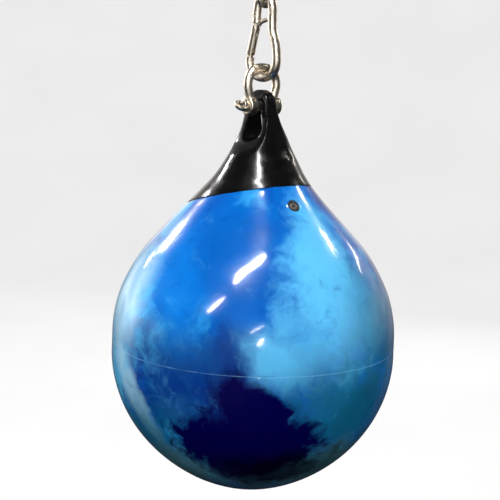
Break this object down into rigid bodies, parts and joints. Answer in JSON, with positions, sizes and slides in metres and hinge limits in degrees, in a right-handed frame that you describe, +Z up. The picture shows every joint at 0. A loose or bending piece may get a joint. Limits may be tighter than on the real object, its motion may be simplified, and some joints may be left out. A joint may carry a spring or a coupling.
{
  "type": "hanging uppercut bag",
  "caption": "Teardrop water-filled vinyl uppercut bag with a moulded neck eye, hung by a bow shackle, a spring snap hook and a short chain.",
  "frame": {"origin": "hang point, the inside top of the highest chain link", "axes": "+Z up, -Y towards the filling valve, X along the shackle's pin with its thumb eye at -X"},
  "size_m": [0.3804, 0.3804, 0.7548],
  "materials": {
    "polished_steel": "polished",
    "chain_steel": "satin",
    "spring_steel": "satin",
    "blue_vinyl": "glossy",
    "black_vinyl": "glossy",
    "water": "liquid",
    "dark_nylon": "satin",
    "grey_nylon": "satin",
    "seal_rubber": "matte"
  },
  "bodies": {
    "top_link": {"chain_link_3": "chain_steel"},
    "middle_link": {"chain_link_2": "chain_steel"},
    "bottom_link": {"chain_link_1": "chain_steel"},
    "hook": {"hook_body": "polished_steel", "hook_eye_bar": "polished_steel", "gate_rivet": "polished_steel"},
    "gate": {"hook_gate": "polished_steel", "gate_latch_pin": "polished_steel", "gate_spring": "spring_steel"},
    "plunger": {"gate_plunger": "spring_steel"},
    "shackle": {"shackle_bow": "polished_steel"},
    "pin": {"shackle_pin": "polished_steel"},
    "bag": {"bladder": "blue_vinyl", "neck": "black_vinyl", "water_fill": "water", "valve_body": "dark_nylon"},
    "valve_plug": {"valve_screw": "grey_nylon", "valve_seal": "seal_rubber"}
  },
  "joints": [
    {"name": "middle_link_twist", "type": "hinge", "parent": "top_link", "child": "middle_link", "pos_m": [0, 0, -0.036], "axis": [0, 0, 1], "range_deg": [-10, 10]},
    {"name": "bottom_link_swing", "type": "hinge", "parent": "middle_link", "child": "bottom_link", "pos_m": [0, 0, -0.0676], "axis": [0, 1, 0], "range_deg": [-45, 45]},
    {"name": "hook_swing", "type": "hinge", "parent": "bottom_link", "child": "hook", "pos_m": [0, 0, -0.0992], "axis": [1, 0, 0], "range_deg": [-45, 45]},
    {"name": "gate_hinge", "type": "hinge", "parent": "hook", "child": "gate", "pos_m": [0, 0.017, -0.1293], "axis": [-1, 0, 0], "range_deg": [0, 33], "stiffness_Nm_per_rad": 0.15, "springref_deg": -34.38},
    {"name": "plunger_slide", "type": "slide", "parent": "gate", "child": "plunger", "axis": [0, 0.2541, -0.9672], "range_m": [0, 0.0005]},
    {"name": "shackle_swing", "type": "hinge", "parent": "hook", "child": "shackle", "pos_m": [0, 0, -0.1918], "axis": [0, 1, 0], "range_deg": [-60, 60]},
    {"name": "pin_slide", "type": "slide", "parent": "shackle", "child": "pin", "axis": [-1, 0, 0], "range_m": [0, 0.055]},
    {"name": "bag_swing", "type": "hinge", "parent": "shackle", "child": "bag", "pos_m": [0, 0, -0.2287], "axis": [1, 0, 0], "range_deg": [-60, 60]},
    {"name": "valve_plug_slide", "type": "slide", "parent": "bag", "child": "valve_plug", "axis": [-0.1233, -0.7783, 0.6157], "range_m": [0, 0.012]}
  ],
  "couplings": [
    {"joint": "plunger_slide", "follows": "gate_hinge", "m_per_rad": 0.0008594}
  ]
}
